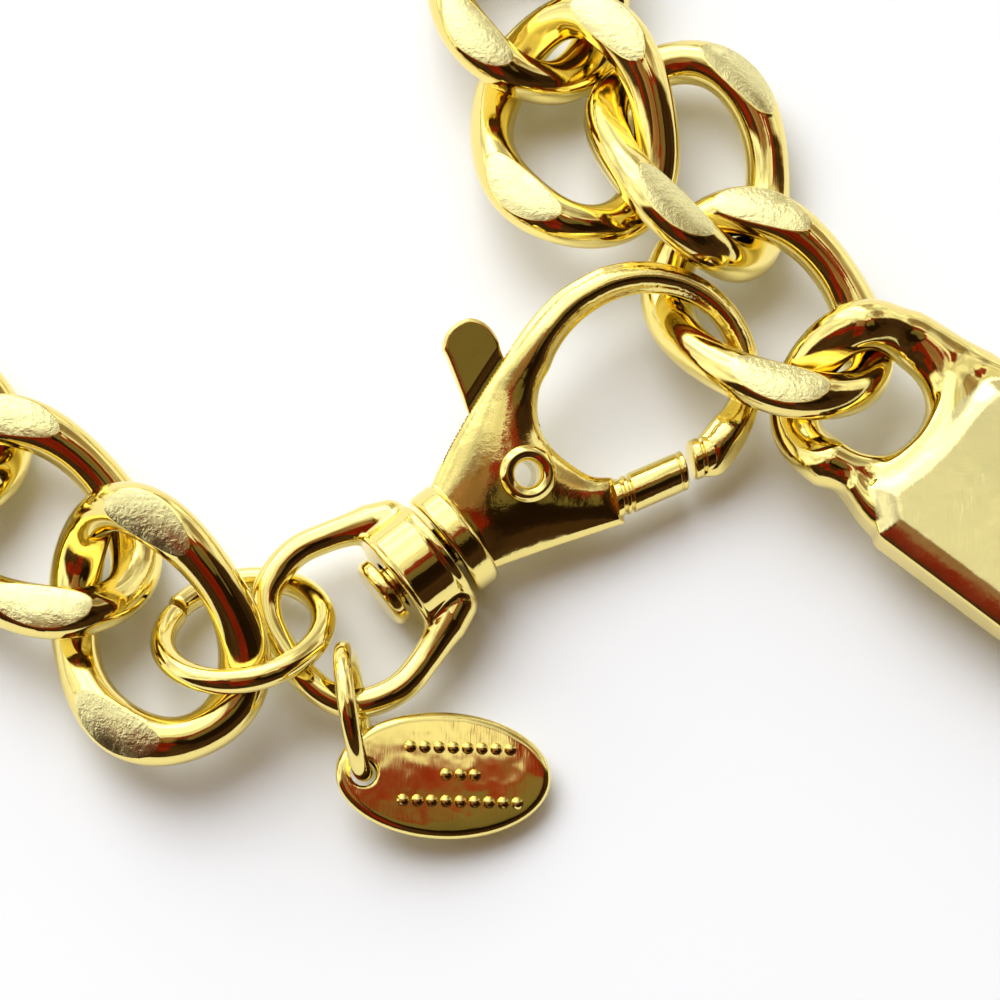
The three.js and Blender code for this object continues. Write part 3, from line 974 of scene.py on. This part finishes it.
    def build(self) -> None:
        """Puts the clasp's pieces in place."""
        rolled = self.pose(self.roll)
        turned_back = (Matrix.Translation((0, self.swivel_shift, 0))
                       @ Matrix.Rotation(math.radians(self.eye_roll - self.roll), 4, "X"))
        show("clasp_casting", self.casting().placed(rolled), [Finish.CAST], "necklace",
             ["clasp_body"])
        show("clasp_gate_and_lever", self.gate().placed(rolled), [Finish.CAST], "gate",
             ["clasp_gate"])
        show("clasp_rolled_rivet", self.rivet().placed(rolled), [Finish.POLISHED], "necklace",
             ["clasp_rivet"])
        show("swivel_barrel_and_eye", self.eye().placed(rolled @ turned_back), [Finish.POLISHED],
             "necklace", ["swivel_eye"])


def slanted(part: Surface, slope: float) -> Surface:
    """Leans the turned rings of a part that runs along X.

    Args:
        part: the part.
        slope: how far they lean along X for each step along Y.

    Returns:
        The leaning part.
    """
    points = part.points.copy()
    points[:, 0] += slope * points[:, 1]
    return Surface(points, part.faces, part.finish_of_face)


def stand_along(root: Vector, tip: Vector) -> Matrix:
    """Finds the pose that lays the X axis along a line, with Z kept upward.

    Args:
        root: where the line starts.
        tip: where it points to.

    Returns:
        The pose.
    """
    x = (tip - root).normalized()
    z = Vector((0, 0, 1))
    y = z.cross(x).normalized()
    z = x.cross(y)
    pose = Matrix((x, y, z)).transposed().to_4x4()
    pose.translation = root
    return pose


def smooth_outline(corners: Corners, count: int, keep: Corners) -> Array:
    """Smooths a closed outline between the corners that are kept.

    Args:
        corners: the outline's points in order.
        count: about how many points the result gets.
        keep: the points that stay sharp corners.

    Returns:
        The closed outline.
    """
    points = [tuple(p) for p in corners]
    first = points.index(tuple(keep[0]))
    points = points[first:] + points[:first]
    stops = [i for i, p in enumerate(points) if p in {tuple(k) for k in keep}] + [len(points)]
    whole = points + [points[0]]
    total = sum(math.dist(a, b) for a, b in zip(whole, whole[1:]))
    line = []
    for a, b in zip(stops, stops[1:]):
        stretch = whole[a:b + 1]
        length = sum(math.dist(p, q) for p, q in zip(stretch, stretch[1:]))
        number = max(3, round(count * length / total))
        line.extend(smooth_line(stretch, number)[:-1].tolist())
    return np.array(line)


def inside(points: Array, outline: Array) -> Array:
    """Tells which points lie inside a closed outline.

    Args:
        points: the points, one a row.
        outline: the outline's points in order.

    Returns:
        True for each point inside.
    """
    x, y = points[:, 0:1], points[:, 1:2]
    a, b = outline, np.roll(outline, -1, 0)
    crosses = (a[:, 1] > y) != (b[:, 1] > y)
    with np.errstate(divide="ignore", invalid="ignore"):
        at = (b[:, 0] - a[:, 0]) * (y - a[:, 1]) / (b[:, 1] - a[:, 1]) + a[:, 0]
    return (crosses & (x < at)).sum(1) % 2 == 1


# ---- rings and tag
@dataclass
class RingsAndTag:
    """The split jump ring, the small tag ring and the oval tag."""

    jump_radius: float = 3.95
    jump_wire: float = 1.25
    slit_heading: float = 156.0  # where the jump ring's ends meet, degrees round the ring
    slit: float = 0.16
    slit_offset: float = 0.09  # each end stands off sideways by this much
    end_bevel: float = 0.06
    ring_steps: int = 140
    split_ring_steps: int = 160
    ring_sides: int = 28
    tag_ring_radius: float = 3.0
    tag_ring_wire: float = 0.9
    tag_length: float = 10.6
    tag_width: float = 6.2
    tag_half: float = 0.4
    tag_edge: float = 0.5  # how far in the stamping has rounded the tag's edge
    tag_dome: float = 0.1  # its face is slightly domed
    tag_steps: int = 160
    tag_hole: tuple = (-3.95, 0.64)
    hole_edge: float = 0.12
    tag_pitch: float = 0.08
    tag_room: tuple = (0.3, 0.6)  # the block that holds the tag: past its outline, half height
    pip_rows: tuple = ((1.3, 8), (0.0, 3), (-1.3, 9))  # across, how many
    pip_middle: float = 0.75
    pip_pitch: float = 0.7
    pip_section: tuple = ((-0.1, 0), (-0.1, 0.3), (0.02, 0.3), (0.15, 0.216), (0.2, 0.09),
                          (0.2, 0))  # height above the face, radius
    pip_sides: int = 16

    def ring(self, radius: float, wire: float, slit_at: Optional[float] = None) -> Surface:
        """Builds a wire ring.

        Args:
            radius: the centre line's radius.
            wire: the wire's diameter.
            slit_at: where it is slit, in degrees, or None for a closed ring.

        Returns:
            The ring, in its own frame.
        """
        if slit_at is None:
            t = np.linspace(0, TURN, self.ring_steps, endpoint=False)
            offset = np.zeros_like(t)
        else:
            half = self.slit / 2 / radius
            t = math.radians(slit_at) + np.linspace(half, TURN - half, self.split_ring_steps)
            offset = np.linspace(-self.slit_offset, self.slit_offset, len(t))
        path = np.stack([radius * np.cos(t), radius * np.sin(t), offset], 1)
        thick = np.full(len(t), wire / 2)
        if slit_at is not None:
            thick[[0, -1]] -= self.end_bevel
        return sweep(path, thick, thick, self.ring_sides, closed=slit_at is None)

    def tag(self) -> Surface:
        """Builds the oval tag: domed, with a hole and three rows of small raised pips.

        Returns:
            The tag.
        """
        t = np.linspace(0, TURN, self.tag_steps, endpoint=False)
        long, wide = self.tag_length / 2, self.tag_width / 2
        plan = FlatShape(np.stack([long * np.cos(t), wide * np.sin(t)], 1))
        at, radius = self.tag_hole
        room, high = self.tag_room

        def height(x: Array, y: Array) -> Array:
            """Returns the height of the domed face."""
            return self.tag_half - self.tag_dome * ((x / long) ** 2 + (y / wide) ** 2)

        def solid(x: Array, y: Array, z: Array) -> Array:
            """Returns the plate's signed distance."""
            plate = trim(plan(x, y), np.abs(z) - height(x, y), self.tag_edge)
            return trim(plate, radius - np.hypot(x - at, y), self.hole_edge)

        body = skin(solid, (-long - room, -wide - room, -high), (long + room, wide + room, high),
                    self.tag_pitch)
        for across, count in self.pip_rows:
            for i in range(count):
                x = self.pip_middle + (i - (count - 1) / 2) * self.pip_pitch
                body = body.joined(self.pip(x, across, height(x, across)))
        return body

    def pip(self, x: float, y: float, base: float) -> Surface:
        """Builds one low raised pip on the tag's face.

        Args:
            x: its place along the tag.
            y: its place across it.
            base: the face's height there.

        Returns:
            The pip.
        """
        place = Matrix.Translation((x, y, base)) @ Matrix.Rotation(-math.pi / 2, 4, "Y")
        return turned(self.pip_section, self.pip_sides).placed(place)

    def build(self) -> None:
        """Puts the rings and the tag in place."""
        ring = self.ring(self.jump_radius, self.jump_wire, 0.0)
        pose = principal_pose("jump_ring")
        heading = math.atan2(pose[1][0], pose[0][0])
        spin = Matrix.Rotation(math.radians(self.slit_heading) - heading, 4, "Z")
        show("split_jump_ring", ring.placed(pose @ spin), [Finish.POLISHED], "necklace",
             ["jump_ring"])
        small = self.ring(self.tag_ring_radius, self.tag_ring_wire)
        show("small_tag_ring", small.placed(principal_pose("tag_ring")), [Finish.POLISHED],
             "necklace", ["tag_ring"])
        low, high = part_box("tag_ring")
        beyond = principal_pose("tag").translation * 2 - (low + high) / 2 / MM
        pose = principal_pose("tag", beyond)
        low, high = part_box("tag")
        pose.translation = (low + high) / 2 / MM
        show("oval_tag", self.tag().placed(pose), [Finish.TAG_FACE], "necklace", ["tag"],
             sharp_deg=28)


# ---- bar
@dataclass
class BarDrop:
    """The bar drop: a raised brass face on a body that is drawn out to a bent ring.

    Its X axis runs along the bar, with the ring's middle at the origin.
    """

    heading: float = 142.0
    tilt: float = 3.4
    loop_at: tuple = (17.54, 3.5, 0.68)  # from the clasp's rivet to the loop's middle
    loop_radius: float = 3.8
    loop_shift: float = 0.25  # the ring's middle lies beside the bar's axis
    wire: float = 2.55
    thinning: float = 0.6  # the dipping limb thins where the ridge takes over
    thin_over: float = 1.6
    rise: float = 1.45
    drop: float = 1.4
    bend_share: float = 0.9  # cosine from which the ring's wave is full
    bend_peak: float = 1.08
    length: float = 42.0
    half_width: float = 5.8
    corner: float = 0.9
    corner_rounding: float = 0.3
    face_top: float = 1.6
    body_top: float = 1.05  # the body below the face reaches this high
    body_inset: float = 0.2
    slope_reach: float = 1.25  # the face falls away over this strip along its edges
    slope_drop: float = 0.47
    slope_curve: float = 1.4
    dome: float = 0.16  # and the middle is slightly domed
    pitch: float = 0.124
    plan_pitch: float = 0.1
    block: tuple = ((-42.4, -6.2, -2.9), (5.4, 6.2, 3.1))
    brush_margin: float = 0.1  # brushing stops this far from the face's edge
    # these even distances out where a surface is steep
    face_slack: float = 0.92
    ring_slack: float = 0.95
    # edges and fillets
    face_edge: float = 0.12
    face_seam: float = 0.1
    low_edge: float = 0.3
    body_edge: float = 0.5
    ridge_fillet: float = 0.35
    ring_fillet: float = 0.9
    limb_fillet: float = 1.0
    head: tuple = ((-3.1, -0.9), (-3.08, 0.6), (-2.78, 2.2), (-2.2, 3.95), (-2.6, 4.5),
                   (-4.1, 5.8))
    far_head: tuple = ((-5.6, -5.8), (-4.2, -4.85), (-3.45, -4.1), (-3.12, -2.7))
    body_head: tuple = ((-5.5, -5.6), (-2.6, -4.6), (-2.6, 4.6), (-5.5, 5.6))
    # the dipping limb runs on along the face's end as an upright ridge
    ridge: tuple = ((1.2, 3.9), (-0.4, 4.1), (-1.37, 4.25), (-2.0, 4.45), (-3.02, 4.8),
                    (-4.6, 5.05))
    ridge_steps: int = 40
    ridge_radius: float = 0.56
    ridge_height: tuple = ((-4.6, -3.6, -1.6, -0.4, 1.2), (0.1, 0.55, 0.55, 0.2, -1.0))  # by x
    # the other limb runs into the bar's far side
    far_limb: tuple = ((0.6, -4.0, 0.55), (-1.2, -4.35, 0.35), (-3.0, -4.85, 0.0),
                       (-6.0, -5.0, -0.2))
    far_limb_radius: float = 0.8

    def outline(self, ends: Corners, inset: float = 0.0) -> Array:
        """Draws an outline from the head's corners and the bar's plain far end.

        Args:
            ends: the head's corners.
            inset: how far inside the bar's sides it runs.

        Returns:
            The outline's points.
        """
        half, end = self.half_width - inset, -self.length + inset
        corners = [*ends, (end + self.corner, half), (end, half - self.corner),
                   (end, -half + self.corner), (end + self.corner, -half)]
        return np.array(rounded([*corners, corners[0]], self.corner_rounding)[:-1])

    def ring(self, x: Array, y: Array, z: Array) -> Array:
        """Shapes the bent ring: one limb stands up and the other dips.

        Args:
            x: the places along X.
            y: the places along Y.
            z: their heights.

        Returns:
            The ring's signed distance.
        """
        angle = np.arctan2(y - self.loop_shift, x)
        share = np.clip(np.cos(angle) / self.bend_share, 0, 1)
        wave = -np.sin(2 * angle) * share * (2 - share) * self.bend_peak
        lift = np.where(wave > 0, wave * self.rise, wave * self.drop)
        less = self.thinning / 2 * np.clip(-x / self.thin_over, 0, 1) * np.clip(y, 0, 1)
        from_axis = np.hypot(x, y - self.loop_shift)
        from_line = np.hypot(from_axis - self.loop_radius + less, z - lift)
        return (from_line - self.wire / 2 + less) * self.ring_slack

    def solid(self, face_plan: FlatShape) -> Solid:
        """Returns the whole bar's signed distance.

        Args:
            face_plan: the raised face's outline.

        Returns:
            The distance as a function of x, y and z.
        """
        body_plan = FlatShape(self.outline(self.body_head, self.body_inset), self.plan_pitch)
        ridge_line = FlatShape(smooth_line(self.ridge, self.ridge_steps), self.plan_pitch, 2.5,
                               closed=False)
        inner = self.loop_radius - self.wire / 2

        def distance(x: Array, y: Array, z: Array) -> Array:
            """Joins face, body, ring and limbs.

            Args:
                x: the places along X.
                y: the places along Y.
                z: their heights.

            Returns:
                The bar's signed distance.
            """
            rim = face_plan(x, y)
            fall = (1 - np.clip(-rim / self.slope_reach, 0, 1)) ** self.slope_curve
            top = self.face_top - self.slope_drop * fall - self.dome * (y / self.half_width) ** 2
            hole = inner - np.hypot(x, y - self.loop_shift)
            face = trim(rim, (z - top) * self.face_slack, self.face_edge)
            face = trim(face, -z - self.body_top, self.low_edge)
            body = trim(body_plan(x, y), np.abs(z) - self.body_top, self.body_edge)
            body = melt(trim(body, hole, self.body_edge), self.ring(x, y, z), self.ring_fillet)
            limb = from_route(self.far_limb, x, y, z) - self.far_limb_radius
            body = melt(body, limb, self.limb_fillet)
            over = np.maximum(z - np.interp(x, *self.ridge_height), 0)
            ridge = np.hypot(ridge_line(x, y), over) - self.ridge_radius
            ridge = trim(ridge, -z - self.body_top, self.low_edge)
            body = melt(body, ridge, self.ridge_fillet)
            return melt(trim(face, hole, self.low_edge), body, self.face_seam)

        return distance

    def build(self) -> None:
        """Puts the bar in place; its face is brushed and the rest polished."""
        rivet = Vector(frame["joints"][0]["pos_m"]) / MM
        pose = (Matrix.Translation(rivet + Vector(self.loop_at))
                @ Matrix.Rotation(math.radians(self.heading), 4, "Z")
                @ Matrix.Rotation(math.radians(-self.tilt), 4, "Y"))
        face_plan = FlatShape(self.outline([*self.far_head, *self.head]), self.plan_pitch)
        whole = skin(self.solid(face_plan), *self.block, self.pitch)
        middle = np.array([whole.points[list(face)].mean(0) for face in whole.faces])
        on_top = middle[:, 2] > self.body_top - self.brush_margin
        brushed = on_top & (face_plan(middle[:, 0], middle[:, 1]) < -self.brush_margin)
        whole.finish_of_face = brushed.astype(int).tolist()
        show("bar_drop", whole.placed(pose), [Finish.POLISHED, Finish.BAR_FACE], "necklace",
             ["bar"])


def from_route(route: Sequence[Sequence[float]], x: Array, y: Array, z: Array) -> Array:
    """Measures how far places lie from a route of straight stretches.

    Args:
        route: the route's points.
        x: the places along X.
        y: the places along Y.
        z: their heights.

    Returns:
        The distance of each place.
    """
    spots = np.stack([x, y, z], 1)
    nearest = np.full(len(spots), np.inf)
    for start, end in zip(np.array(route[:-1]), np.array(route[1:])):
        along = end - start
        share = np.clip((spots - start) @ along / (along @ along), 0, 1)
        gap = np.linalg.norm(spots - start - share[:, None] * along, axis=1)
        np.minimum(nearest, gap, out=nearest)
    return nearest


# ---- studio
@dataclass(frozen=True)
class WhitePaper:
    """Matt white paper: it spreads the light evenly and hardly shines."""

    name: str = "white_paper"
    tint: str = "f6fafe"
    roughness: float = 0.7
    specular: float = 0.2

    def material(self) -> bpy.types.Material:
        """Builds the material.

        Returns:
            The material.
        """
        made = bpy.data.materials.new(self.name)
        made.use_nodes = True
        shader = made.node_tree.nodes["Principled BSDF"]
        shader.inputs["Base Color"].default_value = linear(self.tint)
        shader.inputs["Roughness"].default_value = self.roughness
        shader.inputs["Specular IOR Level"].default_value = self.specular
        return made


@dataclass
class Studio:
    """A white table in a soft dome, whose bright, warm and dark parts the metal mirrors."""

    elevation: float = 71.0
    distance: float = 0.18
    view_width: float = 0.05  # how much of the table the view spans, in metres
    sensor_mm: float = 36.0
    clip: tuple = (0.005, 10.0)
    aim_offset: tuple = (-0.00113, -0.00025, -0.00307)  # from the rivet, in metres
    table: float = 1.6
    # where the light wall stands, cosines of its soft edge, brightness before and after it
    lit_side: tuple = ((-0.28, 0.96, 0.0), -0.03, 0.09, 0.045, 1.05)
    # direction, cosines of the soft edge, colour, brightness; later ones lie over earlier ones
    patches: tuple = (
        ((-0.34, 0.70, 0.63), 0.85, 0.92, "ffffff", 2.6),
        ((0.62, 0.50, 0.60), 0.94, 0.98, "ffdcb3", 0.40),
        ((0.20, 0.90, 0.38), 0.95, 0.985, "fff1da", 0.55),
        ((-0.15, -0.20, 0.97), 0.95, 0.985, "ffc394", 0.34),
        ((0.48, -0.36, 0.80), 0.88, 0.96, "ffb77c", 0.012),
        ((-0.16, -0.62, 0.77), 0.955, 0.970, "ff5034", 0.20),
        ((-0.52, -0.34, 0.78), 0.960, 0.978, "ff4c2c", 0.24),
        ((0.36, 0.02, 0.932), 0.962, 0.976, "ff5436", 0.20),
        ((0.39, -0.15, 0.909), 0.986, 0.993, "ffe6a0", 0.15),
        ((0.19, 0.22, 0.957), 0.974, 0.988, "fffdf2", 0.82),
        ((-0.12, 0.50, 0.86), 0.945, 0.978, "ffffff", 1.8),
    )
    # the room isn't plain: size of its swells, how far they bend edges and change brightness
    clutter: tuple = (0.35, 0.09, 0.5)
    # the room's colour by its brightness
    room_tones: tuple = ((0.0, "ffbc95"), (0.1, "ffb77c"), (0.25, "ffc489"), (0.4, "ffdcb3"),
                         (0.55, "fff1da"), (0.8, "ffffff"))
    lamp_side: tuple = (-0.35, 0.45, 0.82)
    lamp_away: float = 0.6
    lamp_size: float = 0.5
    lamp_power: float = 2.2

    def target(self) -> Vector:
        """Returns the point on the table that the camera looks at."""
        rivet = Vector(frame["joints"][0]["pos_m"])
        return Vector([at + shift for at, shift in zip(rivet, self.aim_offset)])

    def camera(self) -> None:
        """Sets up the camera."""
        data = bpy.data.cameras.new("camera")
        data.sensor_width = self.sensor_mm
        data.lens = data.sensor_width * self.distance / self.view_width
        data.clip_start, data.clip_end = self.clip
        camera = bpy.data.objects.new("camera", data)
        e = math.radians(self.elevation)
        back = Vector((0, -math.cos(e), math.sin(e)))
        camera.location = self.target() + back * self.distance
        camera.rotation_mode = "QUATERNION"
        camera.rotation_quaternion = (-back).to_track_quat("-Z", "Y")
        bpy.context.scene.collection.objects.link(camera)
        bpy.context.scene.camera = camera

    def floor(self) -> None:
        """Lays the white table."""
        half = self.table / 2
        corners = [(-half, -half, 0), (half, -half, 0), (half, half, 0), (-half, half, 0)]
        mesh = bpy.data.meshes.new("table")
        mesh.from_pydata(corners, [], [(0, 1, 2, 3)])
        mesh.materials.append(WhitePaper().material())
        table = bpy.data.objects.new("table", mesh)
        bpy.context.scene.collection.objects.link(table)

    def dome(self) -> None:
        """Lights the studio: a white wall of light to the upper left, and the dark room opposite.

        Polished gold shows what it mirrors, so the room is warm brown where no light comes from.
        """
        world = bpy.data.worlds.new("dome")
        bpy.context.scene.world = world
        world.use_nodes = True
        tree = world.node_tree
        tree.nodes.clear()
        straight = add(tree, "TexCoord").outputs["Generated"]
        size, bend, change = self.clutter
        swell = add(tree, "TexNoise", {"Vector": straight, "Scale": 1 / size, "Detail": 3.0,
                                       "Roughness": 0.55})
        bent = add(tree, "VectorMath", {0: swell.outputs["Color"], 1: (NOISE_MIDDLE,) * 3},
                   operation="SUBTRACT").outputs[0]
        way = add(tree, "VectorMath", {0: bent, 1: (bend * 2,) * 3, 2: straight},
                  operation="MULTIPLY_ADD").outputs[0]
        toward, start, end, low, high = self.lit_side
        level = self.aimed(tree, way, toward, start, end, low, high)
        tone = add(tree, "ValToRGB", {0: level})
        stops = tone.color_ramp.elements
        for place, code in self.room_tones[1:-1]:
            stops.new(place)
        for stop, (place, code) in zip(stops, self.room_tones):
            stop.position, stop.color = place, linear(code)
        light = add(tree, "VectorMath", {0: tone.outputs[0], 3: level},
                    operation="SCALE").outputs[0]
        for toward, start, end, code, strength in self.patches:
            share = self.aimed(tree, way, toward, start, end)
            shone = Vector(linear(code)[:3]) * strength
            light = add(tree, "Mix", {0: share, 4: light, 5: shone},
                        data_type="VECTOR").outputs[1]
        low, high = NOISE_RANGE
        shade = add(tree, "MapRange", {0: swell.outputs["Fac"], 1: low, 2: high, 3: 1 - change,
                                       4: 1 + change})
        glow = add(tree, "Background", {"Color": light, "Strength": shade.outputs[0]})
        add(tree, "OutputWorld", {"Surface": glow.outputs[0]})

    def lamp(self) -> None:
        """Hangs a soft lamp that whitens the table and isn't mirrored in the gold."""
        data = bpy.data.lights.new("table_lamp", "AREA")
        data.shape, data.size, data.energy = "DISK", self.lamp_size, self.lamp_power
        lamp = bpy.data.objects.new("table_lamp", data)
        aim = -Vector(self.lamp_side).normalized()
        lamp.location = self.target() - aim * self.lamp_away
        lamp.rotation_mode = "QUATERNION"
        lamp.rotation_quaternion = aim.to_track_quat("-Z", "Y")
        lamp.visible_glossy = False
        bpy.context.scene.collection.objects.link(lamp)

    def aimed(self, tree: bpy.types.NodeTree, way: bpy.types.NodeSocket,
              toward: Sequence[float], start: float, end: float, low: float = 0.0,
              high: float = 1.0) -> bpy.types.NodeSocket:
        """Adds a soft step round one direction.

        Args:
            tree: the world's node tree.
            way: the direction that is looked in.
            toward: the middle of the step.
            start: the cosine with that direction where the step starts.
            end: the cosine where it ends.
            low: the value before the step.
            high: the value after it.

        Returns:
            The value's socket.
        """
        aim = Vector(toward).normalized()
        cosine = add(tree, "VectorMath", {0: way, 1: aim}, operation="DOT_PRODUCT")
        return add(tree, "MapRange", {0: cosine.outputs["Value"], 1: start, 2: end, 3: low,
                                      4: high}, interpolation_type="SMOOTHSTEP").outputs[0]

    def build(self) -> None:
        """Sets up the whole studio."""
        self.floor()
        self.camera()
        self.dome()
        self.lamp()
        scene = bpy.context.scene
        scene.view_settings.view_transform = "Standard"
        scene.view_settings.look = "None"
        scene.view_settings.exposure = 0.0


def main() -> None:
    """Builds the necklace's pieces and the studio."""
    logging.basicConfig(level=logging.INFO, format="%(message)s")
    for part in (CurbChain(), LobsterClasp(), RingsAndTag(), BarDrop(), Studio()):
        part.build()
        LOG.info("%s done", type(part).__name__)


if __name__ == "__main__":
    main()
